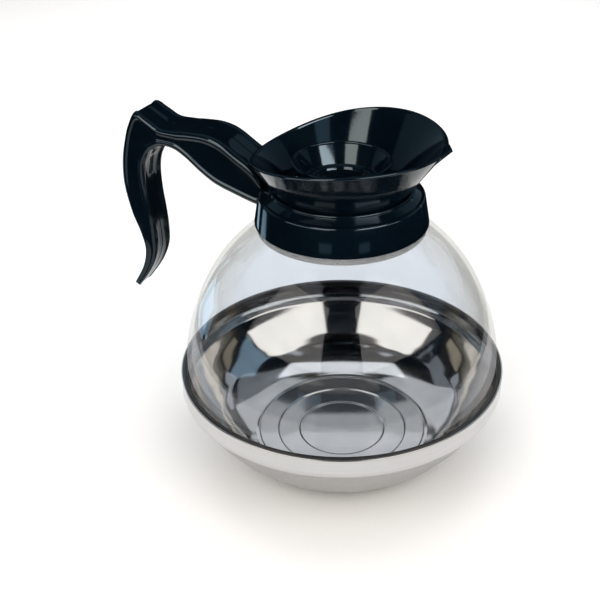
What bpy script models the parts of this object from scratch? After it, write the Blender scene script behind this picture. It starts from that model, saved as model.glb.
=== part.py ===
"""Coffee decanter: a stamped steel base, a clear bowl, and a two-piece collar and handle that clamps
a pouring funnel with a lift-out brew-through cup. +X is the pouring side and -X the handle side,
+Z is up, and the origin is the centre of the flat underside. Lengths are written in millimetres."""

import math

import bmesh
import bpy
from mathutils import Matrix, Vector

MM = 0.001
GAP = 0.3                     # clearance between pieces that touch
SEGMENTS = 48                 # facets around the axis of a large turned piece
FINE = 32                     # facets around a small turned piece

# Steel base
RIM_RADIUS = 82.5
RIM_TOP = 46.8
BAND_BOTTOM = 36.0
FOOT_RADIUS = 48.5
SHEET = 0.9                   # rolled thickness at the lip
FLOOR = 1.0                   # thickness of the flat bottom
DISH = ((51.2, 0.9), (56.3, 5.0), (64.0, 12.0), (70.6, 20.0), (76.0, 28.0), (79.3, 34.4))
DISH_WALL = (0.75, 0.6)       # the dish's inner face, inwards and up from its outer face
RING_RADII = (22.9, 34.3, 44.4)
RING_STEP = 0.9               # each pressed ring lifts the floor by this much, outwards

# Clear bowl: an elliptical dome with a short neck
DOME_RADIUS = 79.4
DOME_HEIGHT = 88.8            # vertical semi-axis of the ellipse
DOME_CENTRE = 46.0
DOME_WALL = 2.2
BOWL_BOTTOM = 41.0
BOWL_HEIGHTS = (60.0, 73.0, 85.0, 96.0, 105.0, 113.0, 119.5, 124.8)
NECK_RADIUS = 31.0
NECK_BORE = 28.4
NECK_TOP = 135.5
BEAD_RADIUS = 34.4
BEAD_BOTTOM = 132.5

# Collar, shared by the two handle halves
COLLAR_BOTTOM = 126.3
COLLAR_TOP = 140.2
COLLAR_RADIUS_LOW = 41.7
COLLAR_RADIUS_HIGH = 39.2
COLLAR_WALL = 2.3
SHOULDER_RADIUS = 32.5
SHOULDER_TOP = 143.1
LEDGE_TOP = 132.2
LEDGE_THICKNESS = 1.8
LEDGE_CLEARANCE = 0.6         # between the ledge and the bowl's neck
SEAL_RADIUS = 40.4
SEAL_WIDTH = 2.6

# Pouring funnel
THROAT_RADIUS = 32.1
THROAT_BORE = 30.4
FLANGE_RADIUS = 36.0
FLANGE_BOTTOM = 137.8
FLANGE_THICKNESS = 1.6
SEAT_BORE = 27.0
SEAT_TOP = 141.2
CONE_BOTTOM = 144.4
FUNNEL_WALL = 1.8
RIM_MEAN = 47.8               # rim radius where the rim crosses the middle plane
RIM_HEIGHT = 166.6            # rim height there
RIM_SLOPE = 0.11
RIM_SAG = 0.0020
RIM_SWELL = 1.2               # extra radius along and across the pouring direction
CONE_SLOPE = 0.64             # radius gained for each unit of height
SPOUT_REACH = 4.2
SPOUT_HALF_ANGLE = math.radians(25)
SPOUT_LIFT = 1.6
SPOUT_DEPTH = 7.0             # how far below the rim the spout fades out
SPOUT_SHARPNESS = 1.6
CONE_STEPS = (0.0, 1.2, 2.6, 4.4, 6.8, 11.0)

# Brew-through cup
CUP_RIM_RADIUS = 23.6
CUP_RIM_TOP = 156.9
CUP_FLOOR = 147.2
CUP_RING_OUTER = 29.9
CUP_RING_INNER = 26.0
NOZZLE_RADIUS = 14.9
NOZZLE_BOTTOM = 134.0
HUB_RADIUS = 17.2
RING_THICKNESS = 1.8
SPOKES = 4
SPOKE_WIDTH = 6.0

# Handle: cross-bars from the outer edge to the inner edge, (x, z) each, with the half-width there
HANDLE_BARS = (
    ((-37.1, 144.0), (-37.1, 130.7), 11.8),
    ((-41.0, 149.4), (-41.5, 131.3), 12.0),
    ((-49.0, 154.6), (-52.0, 134.4), 12.0),
    ((-58.0, 160.3), (-61.5, 137.8), 12.0),
    ((-66.0, 162.6), (-69.5, 142.8), 12.0),
    ((-75.0, 162.6), (-77.0, 148.8), 12.0),
    ((-83.5, 162.0), (-84.0, 152.8), 12.0),
    ((-91.0, 162.3), (-90.2, 153.2), 11.8),
    ((-98.0, 166.0), (-95.2, 151.0), 11.5),
    ((-104.2, 168.6), (-98.4, 148.4), 11.2),
    ((-109.2, 161.6), (-101.0, 144.4), 10.7),
    ((-113.0, 152.4), (-103.1, 139.4), 10.0),
    ((-116.2, 141.0), (-104.0, 132.0), 9.4),
    ((-117.3, 128.0), (-103.5, 122.0), 8.8),
    ((-115.2, 113.6), (-102.0, 109.6), 8.3),
    ((-111.4, 101.6), (-101.4, 99.0), 7.9),
    ((-109.5, 91.6), (-102.6, 90.2), 7.5),
    ((-112.4, 80.6), (-107.6, 79.4), 6.8),
    ((-119.8, 68.2), (-117.2, 66.4), 5.8),
)
BAR_STEPS = 2                 # cross-sections for each stretch between two bars
HANDLE_EDGE = 3.0             # rounding along the handle's edges
HANDLE_WALL = 2.3
HOLLOW_EDGE = 1.2             # rounding inside the hollow
HOLLOW_START = 2              # first and last bars that the hollow reaches
HOLLOW_END = 16
SCREWS = {"arm": (-56.0, 147.5), "bend": (-98.8, 158.3), "grip": (-109.8, 122.5)}
BOSS_RADIUS = 3.3
BOSS_INSET = 0.8              # from the boss's end to the handle's side
BLIND_WALL = 2.2              # left between a screw hole's end and the near side
PEG_SEGMENTS = 20
PAST_SEAM = 4.0               # each half is built this far past the seam, then cut
SCREW_RADIUS = 1.2
SCREW_POINT = 1.4
SCREW_HEAD_RADIUS = 2.5
SCREW_HEAD_HEIGHT = 1.8
HEAD_RECESS = 3.0


def clear_scene():
    for obj in list(bpy.data.objects):
        bpy.data.objects.remove(obj, do_unlink=True)


def material(name, colour, roughness, metallic=0.0, alpha=1.0):
    made = bpy.data.materials.new(name)
    made.use_nodes = True
    shader = made.node_tree.nodes["Principled BSDF"]
    shader.inputs["Base Color"].default_value = (*colour, 1.0)
    shader.inputs["Roughness"].default_value = roughness
    shader.inputs["Metallic"].default_value = metallic
    shader.inputs["Alpha"].default_value = alpha
    return made


def make_object(name, bm, finish):
    """Turn a bmesh written in millimetres into a named, smooth-shaded object."""
    bmesh.ops.scale(bm, vec=(MM, MM, MM), verts=bm.verts)
    bmesh.ops.recalc_face_normals(bm, faces=bm.faces)
    mesh = bpy.data.meshes.new(name)
    bm.to_mesh(mesh)
    bm.free()
    mesh.shade_smooth()
    mesh.set_sharp_from_angle(angle=math.radians(35))
    mesh.materials.append(finish)
    obj = bpy.data.objects.new(name, mesh)
    bpy.context.scene.collection.objects.link(obj)
    return obj


def boolean(target, operation, cutter):
    """Add an exact Boolean to the target and hide the piece that it uses."""
    step = target.modifiers.new(f"{operation.lower()}_{cutter.name}", "BOOLEAN")
    step.operation = operation
    step.solver = "EXACT"
    step.object = cutter
    cutter.hide_render = True
    cutter.display_type = "WIRE"


def turned(rows, segments=SEGMENTS):
    """Revolve a closed (radius, height) outline about Z; points on the axis become one vertex."""
    bm = bmesh.new()
    rings = []
    for radius, height in rows:
        if radius < 1e-9:
            rings.append([bm.verts.new((0, 0, height))] * segments)
            continue
        turns = [math.tau * i / segments for i in range(segments)]
        points = [(radius * math.cos(turn), radius * math.sin(turn), height) for turn in turns]
        rings.append([bm.verts.new(point) for point in points])
    for row, ring in enumerate(rings):
        above = rings[(row + 1) % len(rings)]
        for i in range(segments):
            j = (i + 1) % segments
            corners = []
            for vert in (ring[i], ring[j], above[j], above[i]):
                if vert not in corners:
                    corners.append(vert)
            if len(corners) > 2:
                bm.faces.new(corners)
    return bm


def dome_radius(height, inset=0.0):
    """Radius of the bowl's ellipse at a height, with both semi-axes reduced by the inset."""
    lift = (height - DOME_CENTRE) / (DOME_HEIGHT - inset)
    return (DOME_RADIUS - inset) * math.sqrt(max(0.0, 1.0 - lift * lift))


def dome_height(radius, inset=0.0):
    """Height of the bowl's ellipse above a radius."""
    reach = radius / (DOME_RADIUS - inset)
    return DOME_CENTRE + (DOME_HEIGHT - inset) * math.sqrt(max(0.0, 1.0 - reach * reach))


def base_pan(finish):
    outside = [(0, 0), (FOOT_RADIUS, 0), *DISH]
    outside += [(81.4, BAND_BOTTOM), (RIM_RADIUS, BAND_BOTTOM + 1.6), (RIM_RADIUS, RIM_TOP - 0.5)]
    lip_inner = RIM_RADIUS - SHEET
    outside += [(RIM_RADIUS - 0.3, RIM_TOP), (lip_inner + 0.1, RIM_TOP), (lip_inner, RIM_TOP - 0.4)]
    inside = [(lip_inner, BAND_BOTTOM + 1.8), (80.7, BAND_BOTTOM + 0.7), (78.4, 34.9)]
    inside += [(radius - DISH_WALL[0], height + DISH_WALL[1]) for radius, height in DISH[-2:0:-1]]
    inside += [(50.4, FLOOR + len(RING_RADII) * RING_STEP)]
    for step, radius in reversed(list(enumerate(RING_RADII, start=1))):
        outer_floor = FLOOR + step * RING_STEP
        inside += [(radius + 0.5, outer_floor), (radius - 0.4, outer_floor - RING_STEP)]
    inside += [(0, FLOOR)]
    return make_object("base_pan", turned(outside + inside), finish)


def base_gasket(finish):
    outer = RIM_RADIUS - SHEET - GAP
    inner = DOME_RADIUS + GAP
    bowl_inner = DOME_RADIUS - DOME_WALL
    low = BAND_BOTTOM + 1.5
    floor = BOWL_BOTTOM - GAP
    rows = [(bowl_inner - 1.5, low + 0.4), (outer - 1.0, low), (outer, low + 1.0)]
    rows += [(outer, RIM_TOP - 0.3), (outer - 0.7, RIM_TOP + 0.3), (inner, RIM_TOP - 0.2)]
    rows += [(inner, floor), (bowl_inner - GAP, floor), (bowl_inner - GAP, floor + 1.4)]
    rows += [(bowl_inner - 1.5, floor + 1.4)]
    return make_object("base_gasket", turned(rows), finish)


def upper_bowl(finish):
    outside = [(DOME_RADIUS, BOWL_BOTTOM), (dome_radius(RIM_TOP), RIM_TOP)]
    outside += [(dome_radius(height), height) for height in BOWL_HEIGHTS]
    outside += [(NECK_RADIUS + 2.2, 127.6), (NECK_RADIUS + 0.3, 129.0), (NECK_RADIUS, 130.2)]
    outside += [(NECK_RADIUS, BEAD_BOTTOM)]
    outside += [(BEAD_RADIUS - 0.5, BEAD_BOTTOM), (BEAD_RADIUS, BEAD_BOTTOM + 0.6)]
    outside += [(BEAD_RADIUS, NECK_TOP - 0.5), (BEAD_RADIUS - 0.5, NECK_TOP)]
    inside = [(NECK_BORE, NECK_TOP), (NECK_BORE, 127.4), (NECK_BORE + 1.0, 126.0)]
    inside += [(dome_radius(height, DOME_WALL), height) for height in BOWL_HEIGHTS[-2::-1]]
    inside += [(dome_radius(RIM_TOP, DOME_WALL), RIM_TOP)]
    inside += [(DOME_RADIUS - DOME_WALL, BOWL_BOTTOM)]
    return make_object("upper_bowl", turned(outside + inside), finish)


def neck_seal(finish):
    top = COLLAR_BOTTOM - GAP
    inner = SEAL_RADIUS - SEAL_WIDTH
    outer = SEAL_RADIUS
    rows = [(inner, top), (outer, top)]
    rows += [(outer, dome_height(outer) + GAP + 0.2), (inner, dome_height(inner) + GAP + 0.1)]
    return make_object("neck_seal", turned(rows), finish)


def mouth_gasket(finish):
    low = NECK_TOP + GAP
    high = FLANGE_BOTTOM - GAP
    inner = NECK_BORE + GAP
    outer = BEAD_RADIUS - 0.4
    rows = [(inner, low), (outer, low), (outer, high), (inner, high)]
    return make_object("mouth_gasket", turned(rows, FINE), finish)


def rim_point(angle):
    """Outer radius and height of the funnel's rim in one direction from the axis."""
    x = RIM_MEAN * math.cos(angle)
    height = RIM_HEIGHT + RIM_SLOPE * x - RIM_SAG * x * x
    radius = RIM_MEAN + CONE_SLOPE * (height - RIM_HEIGHT) + RIM_SWELL * math.cos(2 * angle) ** 2
    return radius, height


def spout(angle):
    """How much of the spout's reach applies in one direction: 1 on the lip, 0 beyond its sides."""
    turn = abs(math.remainder(angle, math.tau))
    return max(0.0, 1.0 - turn / SPOUT_HALF_ANGLE) ** SPOUT_SHARPNESS


def funnel_wall(angle, below, inset):
    """A point of the funnel's cone, a distance down from the rim."""
    radius, height = rim_point(angle)
    bottom_radius = THROAT_RADIUS + 0.8
    share = below / (height - CONE_BOTTOM)
    cone = radius + (bottom_radius - radius) * share
    fade = max(0.0, 1.0 - below / SPOUT_DEPTH) ** SPOUT_SHARPNESS
    pinch = spout(angle) * SPOUT_REACH * fade
    lift = spout(angle) * SPOUT_LIFT * fade
    distance = cone + pinch - inset
    return Vector((distance * math.cos(angle), distance * math.sin(angle), height - below + lift))


def pour_funnel(finish):
    flange_top = FLANGE_BOTTOM + FLANGE_THICKNESS
    throat = [(THROAT_RADIUS, CONE_BOTTOM - 1.2), (THROAT_RADIUS, flange_top), (FLANGE_RADIUS, flange_top)]
    throat += [(FLANGE_RADIUS, FLANGE_BOTTOM), (SEAT_BORE, FLANGE_BOTTOM), (SEAT_BORE, SEAT_TOP)]
    throat += [(THROAT_BORE, SEAT_TOP), (THROAT_BORE, CONE_BOTTOM - 1.0)]
    bm = bmesh.new()
    columns = []
    for i in range(SEGMENTS):
        angle = math.tau * i / SEGMENTS
        around = Vector((math.cos(angle), math.sin(angle), 0))
        foot = rim_point(angle)[1] - CONE_BOTTOM
        column = [funnel_wall(angle, below, 0.0) for below in (*CONE_STEPS, foot)]
        column += [around * radius + Vector((0, 0, height)) for radius, height in throat]
        column += [funnel_wall(angle, below, FUNNEL_WALL) for below in (foot, *reversed(CONE_STEPS))]
        columns.append([bm.verts.new(point) for point in column])
    for i, column in enumerate(columns):
        beside = columns[(i + 1) % SEGMENTS]
        for row in range(len(column)):
            after = (row + 1) % len(column)
            bm.faces.new((column[row], beside[row], beside[after], column[after]))
    return make_object("pour_funnel", bm, finish)


def brew_cup(finish):
    seat = SEAT_TOP + GAP
    ring_top = seat + RING_THICKNESS
    body = [(CUP_RIM_RADIUS, CUP_RIM_TOP), (CUP_RIM_RADIUS - 0.7, CUP_RIM_TOP - 1.1), (19.4, CUP_FLOOR)]
    body += [(HUB_RADIUS, ring_top), (HUB_RADIUS, seat), (NOZZLE_RADIUS + 0.4, seat - 0.8)]
    body += [(11.2, NOZZLE_BOTTOM), (9.8, NOZZLE_BOTTOM), (13.6, CUP_FLOOR - 1.4)]
    body += [(NOZZLE_RADIUS - 0.7, CUP_FLOOR - 0.2), (NOZZLE_RADIUS + 0.3, CUP_FLOOR - 0.2)]
    body += [(16.4, CUP_FLOOR - 0.9), (17.7, CUP_FLOOR), (CUP_RIM_RADIUS - 1.5, CUP_RIM_TOP)]
    cup = make_object("brew_cup", turned(body, FINE), finish)
    ring = [(CUP_RING_INNER, seat), (CUP_RING_OUTER, seat)]
    ring += [(CUP_RING_OUTER, ring_top), (CUP_RING_INNER, ring_top)]
    boolean(cup, "UNION", make_object("cup_ring", turned(ring, FINE), finish))
    start = HUB_RADIUS - 1.0
    reach = (CUP_RING_INNER + CUP_RING_OUTER) / 2 - start
    for i in range(SPOKES):
        bm = bmesh.new()
        bmesh.ops.create_cube(bm, size=1.0)
        bmesh.ops.scale(bm, vec=(reach, SPOKE_WIDTH, RING_THICKNESS - 0.2), verts=bm.verts)
        bmesh.ops.translate(bm, vec=(start + reach / 2, 0, (ring_top + seat) / 2), verts=bm.verts)
        spoke = make_object(f"cup_spoke_{i + 1}", bm, finish)
        spoke.rotation_euler.z = math.tau * (i + 0.5) / SPOKES
        boolean(cup, "UNION", spoke)
    return cup


def between(before, start, end, after, t):
    """Catmull-Rom point between start and end."""
    return 0.5 * (
        2 * start
        + (end - before) * t
        + (2 * before - 5 * start + 4 * end - after) * t * t
        + (3 * start - before - 3 * end + after) * t * t * t
    )


def handle_bars():
    """Smoothly interpolated bars, each (outer x, outer z, inner x, inner z, half-width)."""
    last = len(HANDLE_BARS) - 1
    rows = [Vector((*outer, *inner)) for outer, inner, _ in HANDLE_BARS]
    widths = [width for _, _, width in HANDLE_BARS]
    bars = []
    for i in range(last):
        picks = [max(0, i - 1), i, i + 1, min(len(rows) - 1, i + 2)]
        for step in range(BAR_STEPS):
            t = step / BAR_STEPS
            point = between(*(rows[k] for k in picks), t)
            bars.append((*point, between(*(widths[k] for k in picks), t)))
    bars.append((*rows[last], widths[last]))
    return bars


def section(bar, outer_inset, side_inset, edge, seam):
    """Half cross-section on a bar, from the seam round the outer, side and inner faces to the seam."""
    outer = Vector((bar[0], 0, bar[1]))
    inner = Vector((bar[2], 0, bar[3]))
    across = (inner - outer).normalized()
    outer = outer + across * outer_inset
    inner = inner - across * outer_inset
    side = bar[4] - side_inset
    edge = min(edge, 0.45 * (inner - outer).length, 0.6 * side)
    sideways = Vector((0, 1, 0))
    points = [outer + sideways * seam]
    for corner, sign, turns in ((outer, 1, (0, 1, 2)), (inner, -1, (2, 1, 0))):
        centre = corner + across * edge * sign + sideways * (side - edge)
        for turn in turns:
            angle = math.radians(45 * turn)
            along = across * sign * math.cos(angle)
            points.append(centre + (sideways * math.sin(angle) - along) * edge)
    points.append(inner + sideways * seam)
    return points


def skin(bm, loops):
    """Faces between successive open cross-sections."""
    for loop, following in zip(loops, loops[1:]):
        for i in range(len(loop) - 1):
            bm.faces.new((loop[i], loop[i + 1], following[i + 1], following[i]))


def handle_channel(seam):
    """Half of the handle, hollow between two of its bars and open at the seam plane."""
    bm = bmesh.new()
    bars = handle_bars()
    first, last = HOLLOW_START * BAR_STEPS, HOLLOW_END * BAR_STEPS
    outside = [[bm.verts.new(p) for p in section(bar, 0.0, 0.0, HANDLE_EDGE, seam)] for bar in bars]
    hollow = [section(bar, HANDLE_WALL, HANDLE_WALL, HOLLOW_EDGE, seam) for bar in bars[first:last + 1]]
    inside = [[bm.verts.new(p) for p in points] for points in hollow]
    skin(bm, outside)
    skin(bm, inside)
    bm.faces.new(outside[0])
    bm.faces.new(outside[-1])
    bm.faces.new(inside[0])
    bm.faces.new(inside[-1])
    for i in range(len(bars) - 1):
        here, ahead = outside[i], outside[i + 1]
        if first <= i < last:
            inner, inner_ahead = inside[i - first], inside[i + 1 - first]
            bm.faces.new((here[0], ahead[0], inner_ahead[0], inner[0]))
            bm.faces.new((here[-1], ahead[-1], inner_ahead[-1], inner[-1]))
            continue
        start = [here[-1], here[0]]
        end = [ahead[0], ahead[-1]]
        if i == last:
            start = [here[-1], inside[-1][-1], inside[-1][0], here[0]]
        if i + 1 == first:
            end = [ahead[0], inside[0][0], inside[0][-1], ahead[-1]]
        bm.faces.new(start + end)
    bmesh.ops.triangulate(bm, faces=bm.faces)
    return bm


def peg(name, radius, start, end, place, finish):
    """A round bar along Y between two offsets from the seam, at a place (x, z)."""
    bm = bmesh.new()
    size = {"radius1": radius, "radius2": radius, "depth": end - start}
    bmesh.ops.create_cone(bm, cap_ends=True, segments=PEG_SEGMENTS, **size)
    bmesh.ops.rotate(bm, verts=bm.verts, matrix=Matrix.Rotation(math.pi / 2, 3, "X"))
    bmesh.ops.translate(bm, verts=bm.verts, vec=(place[0], (start + end) / 2, place[1]))
    return make_object(name, bm, finish)


def half_width(place):
    """Half-width of the handle on the bar whose middle is nearest to a place (x, z)."""
    def distance(bar):
        return math.hypot((bar[0] + bar[2]) / 2 - place[0], (bar[1] + bar[3]) / 2 - place[1])

    return min(handle_bars(), key=distance)[4]


def collar_ring(name, finish):
    """The collar: a tapered wall, a sloping shoulder and the ledge that traps the neck's bead."""
    inner_low = COLLAR_RADIUS_LOW - COLLAR_WALL
    inner_high = COLLAR_RADIUS_HIGH - COLLAR_WALL
    ledge_bottom = LEDGE_TOP - LEDGE_THICKNESS
    rows = [(COLLAR_RADIUS_LOW, COLLAR_BOTTOM), (COLLAR_RADIUS_HIGH + 0.2, COLLAR_TOP - 0.9)]
    rows += [(COLLAR_RADIUS_HIGH - 0.1, COLLAR_TOP - 0.25), (COLLAR_RADIUS_HIGH - 0.9, COLLAR_TOP + 0.2)]
    rows += [(SHOULDER_RADIUS + 0.8, SHOULDER_TOP), (SHOULDER_RADIUS, SHOULDER_TOP - 0.3)]
    rows += [(SHOULDER_RADIUS, SHOULDER_TOP - 1.9), (inner_high, COLLAR_TOP - 1.0)]
    ledge_inner = NECK_RADIUS + LEDGE_CLEARANCE
    rows += [(inner_high + 0.5, LEDGE_TOP), (ledge_inner, LEDGE_TOP), (ledge_inner, ledge_bottom)]
    rows += [(inner_low - 0.8, ledge_bottom), (inner_low, COLLAR_BOTTOM)]
    return make_object(name, turned(rows), finish)


def seam_block(name, finish):
    """Everything past the seam plane, to be cut away from a half."""
    size = 400.0
    bm = bmesh.new()
    bmesh.ops.create_cube(bm, size=size)
    bmesh.ops.translate(bm, verts=bm.verts, vec=(0, (GAP - size) / 2, size / 4))
    return make_object(name, bm, finish)


def handle_half(name, side, finish):
    """One moulded half, built on the +Y side; the half for the -Y side is then mirrored."""
    half = make_object(name, handle_channel(-PAST_SEAM), finish)
    boolean(half, "UNION", collar_ring(f"{name}_collar", finish))
    beyond = 2.0
    for label, place in SCREWS.items():
        width = half_width(place)
        boss = peg(f"{name}_{label}_boss", BOSS_RADIUS, -PAST_SEAM, width - BOSS_INSET, place, finish)
        boolean(half, "UNION", boss)
        hole_end = width + beyond if side > 0 else width - BLIND_WALL
        hole = peg(f"{name}_{label}_hole", SCREW_RADIUS + GAP, -PAST_SEAM - beyond, hole_end, place, finish)
        boolean(half, "DIFFERENCE", hole)
        if side > 0:
            floor = width - HEAD_RECESS
            head = SCREW_HEAD_RADIUS + GAP
            recess = peg(f"{name}_{label}_recess", head, floor, width + beyond, place, finish)
            boolean(half, "DIFFERENCE", recess)
    boolean(half, "DIFFERENCE", seam_block(f"{name}_seam", finish))
    if side < 0:
        for piece in [half] + [step.object for step in half.modifiers]:
            piece.data.transform(Matrix.Scale(-1, 4, (0, 1, 0)))
            piece.data.flip_normals()
    return half


def screw(label, finish):
    """A self-tapping screw, entered from the +Y side."""
    x, z = SCREWS[label]
    width = half_width((x, z))
    tip = BLIND_WALL + 0.8 - width
    under_head = width - HEAD_RECESS + 1.5 * GAP - tip
    head = under_head + SCREW_HEAD_HEIGHT
    rows = [(0, 0), (0.5, 0), (SCREW_RADIUS, SCREW_POINT), (SCREW_RADIUS, under_head)]
    rows += [(SCREW_HEAD_RADIUS, under_head), (SCREW_HEAD_RADIUS, head - 0.9)]
    rows += [(SCREW_HEAD_RADIUS - 0.9, head - 0.1), (0, head)]
    bm = turned(rows, PEG_SEGMENTS)
    bmesh.ops.rotate(bm, verts=bm.verts, matrix=Matrix.Rotation(-math.pi / 2, 3, "X"))
    bmesh.ops.translate(bm, verts=bm.verts, vec=(x, tip, z))
    return make_object(f"{label}_screw", bm, finish)


def build():
    clear_scene()
    steel = material("stainless", (0.66, 0.65, 0.63), 0.2, metallic=1.0)
    clear = material("clear_bowl", (0.93, 0.94, 0.97), 0.05, alpha=0.25)
    black = material("black_moulding", (0.012, 0.016, 0.024), 0.18)
    rubber = material("black_rubber", (0.02, 0.02, 0.02), 0.6)
    silicone = material("clear_silicone", (0.7, 0.7, 0.7), 0.35, alpha=0.6)
    zinc = material("screw_steel", (0.55, 0.55, 0.55), 0.3, metallic=1.0)
    base_pan(steel)
    base_gasket(rubber)
    upper_bowl(clear)
    neck_seal(silicone)
    mouth_gasket(rubber)
    pour_funnel(black)
    brew_cup(black)
    handle_half("handle_shell_near", -1, black)
    handle_half("handle_shell_far", 1, black)
    for label in SCREWS:
        screw(label, zinc)


build()
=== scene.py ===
"""Looks of the coffee decanter: fine surfaces, materials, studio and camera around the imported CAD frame.

+X is the pouring side and -X the handle side. The object's lengths are in millimetres until make_piece()
scales them. The floor's and the lights' are in metres.
"""

import math

import bmesh
import bpy
from mathutils import Matrix, Vector


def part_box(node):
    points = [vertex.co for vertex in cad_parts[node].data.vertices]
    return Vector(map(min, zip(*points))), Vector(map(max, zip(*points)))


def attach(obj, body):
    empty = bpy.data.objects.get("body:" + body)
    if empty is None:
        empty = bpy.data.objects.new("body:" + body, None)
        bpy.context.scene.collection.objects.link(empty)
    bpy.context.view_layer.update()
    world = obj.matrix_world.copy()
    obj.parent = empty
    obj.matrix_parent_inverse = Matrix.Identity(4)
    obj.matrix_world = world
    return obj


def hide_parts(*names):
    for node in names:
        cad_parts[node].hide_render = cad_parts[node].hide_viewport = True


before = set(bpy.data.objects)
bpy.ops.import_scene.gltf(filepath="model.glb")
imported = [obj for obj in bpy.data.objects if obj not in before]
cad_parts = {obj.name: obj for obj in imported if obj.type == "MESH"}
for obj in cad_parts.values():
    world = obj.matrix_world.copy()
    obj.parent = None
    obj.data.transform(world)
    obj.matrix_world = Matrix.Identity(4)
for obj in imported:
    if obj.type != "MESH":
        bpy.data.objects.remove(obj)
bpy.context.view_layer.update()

MM = 0.001


def extent(node, axis, side):
    """A CAD node's lowest (side 0) or highest (side 1) coordinate on an axis, in millimetres."""
    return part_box(node)[side][axis] / MM


SEGMENTS = 192
SHARP = 40                            # edges that bend by more degrees than this stay sharp
X, Y, Z = 0, 1, 2

# Steel base
RIM_RADIUS = extent("base_pan", X, 1)
RIM_TOP = extent("base_pan", Z, 1)
BAND_BOTTOM = RIM_TOP - 10.8
FOOT_RADIUS = 48.5
FOOT_RISE = 0.35                      # of the underside within the foot
SHEET = 0.9
LIP_RADIUS = SHEET / 2
DISH = ((51.2, 0.9), (56.3, 5.0), (64.0, 12.0), (70.6, 20.0), (76.0, 28.0), (79.3, 34.4))
BAND_STEP = ((79.3, 34.4), (80.3, 35.7), (81.5, 36.3), (82.2, 37.2), (RIM_RADIUS, 38.6))
BAND_STEP_INSIDE = ((81.2, 37.5), (80.4, 36.3))
FLOOR_RINGS = (                       # radius, floor height outside it and inside it, outermost first
    (44.4, 3.6, 3.0),
    (34.3, 2.3, 1.6),
    (22.9, 1.55, 1.0),
)
FLOOR_MIDDLE = 1.0
PAN_WALL = ((78.4, 34.8), (75.0, 27.7), (70.0, 20.1), (66.0, 15.3), (63.0, 12.4), (58.0, 8.9), (52.0, 5.9),
            (46.0, 3.85))
GASKET_BOTTOM = RIM_TOP - 3.2

# Clear bowl
DOME_RADIUS = 79.4
DOME_HEIGHT = 88.8
DOME_CENTRE = RIM_TOP - 0.8
DOME_WALL = 2.2
DOME_STEPS = 40
BOWL_EDGE = 36.1
NECK_TOP = extent("upper_bowl", Z, 1)
NECK_RADIUS = 31.0
NECK_BORE = 28.4
NECK_CURVE = ((33.8, 127.2), (NECK_RADIUS + 0.7, 128.6), (NECK_RADIUS, 130.4))
NECK_CURVE_INSIDE = ((NECK_BORE + 0.15, 127.2), (NECK_BORE + 1.1, 125.9), (31.6, 124.2))
DOME_TOP = 124.6                      # where the dome gives way to the neck's curve
DOME_TOP_INSIDE = 122.6
BEAD_RADIUS = 34.4
BEAD_BOTTOM = NECK_TOP - 3.0

# Collar
COLLAR_BOTTOM = extent("neck_seal", Z, 1) + 0.3
COLLAR_HEIGHT = 13.9
COLLAR_TOP = COLLAR_BOTTOM + COLLAR_HEIGHT
COLLAR_RADIUS_LOW = 41.7
COLLAR_RADIUS_HIGH = 39.2
COLLAR_WALL = 2.3
SHOULDER_RADIUS = 32.5
SHOULDER_BEAD = 34.2
SHOULDER_TOP = COLLAR_TOP + 2.9
LEDGE_TOP = COLLAR_BOTTOM + 5.9
LEDGE_THICKNESS = 1.8
SEAL_RADIUS = extent("neck_seal", X, 1)
SEAL_WIDTH = 2.6
NUB_RADIUS = 0.55
NUB_TURNS = (6, 14)                   # degrees from +X

# Pouring funnel
THROAT_RADIUS = 32.1
THROAT_BORE = 30.4
FLANGE_RADIUS = 36.0
FLANGE_BOTTOM = extent("pour_funnel", Z, 0)
FLANGE_THICKNESS = 1.6
SEAT_BORE = 27.0
SEAT_TOP = FLANGE_BOTTOM + 3.4
CONE_BOTTOM = FLANGE_BOTTOM + 6.6
FUNNEL_WALL = 1.8
RIM_MEAN = 47.8
RIM_HEIGHT = FLANGE_BOTTOM + 28.8
RIM_SLOPE = 0.11
RIM_SAG = 0.0020
RIM_SWELL = 1.2
CONE_SLOPE = 0.64
SPOUT_TURN = math.radians(4)          # the beak's turn from the handle's plane
SPOUT_REACH = 3.1
SPOUT_HALF_ANGLE = math.radians(13)
SPOUT_LIFT = 0.6
SPOUT_DEPTH = 3.8
SPOUT_DEPTH_OUTSIDE = 9.0
FUNNEL_COLUMNS = 360
FUNNEL_ROWS = 18
LIP_ROWS = 6

# Brew-through cup
CUP_TOP = extent("brew_cup", Z, 1)
CUP_RIM_RADIUS = 23.6
CUP_FLOOR = CUP_TOP - 9.7
NOZZLE_BOTTOM = extent("brew_cup", Z, 0)
NOZZLE_RADIUS = 14.9
HUB_RADIUS = 17.2
CUP_RING_INNER = 26.0
CUP_RING_OUTER = 29.9
RING_THICKNESS = 1.8
CUP_LIP_RADIUS = 0.75
CUP_SEGMENTS = 128
SPOKES = 4
SPOKE_WIDTH = 6.0

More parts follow.
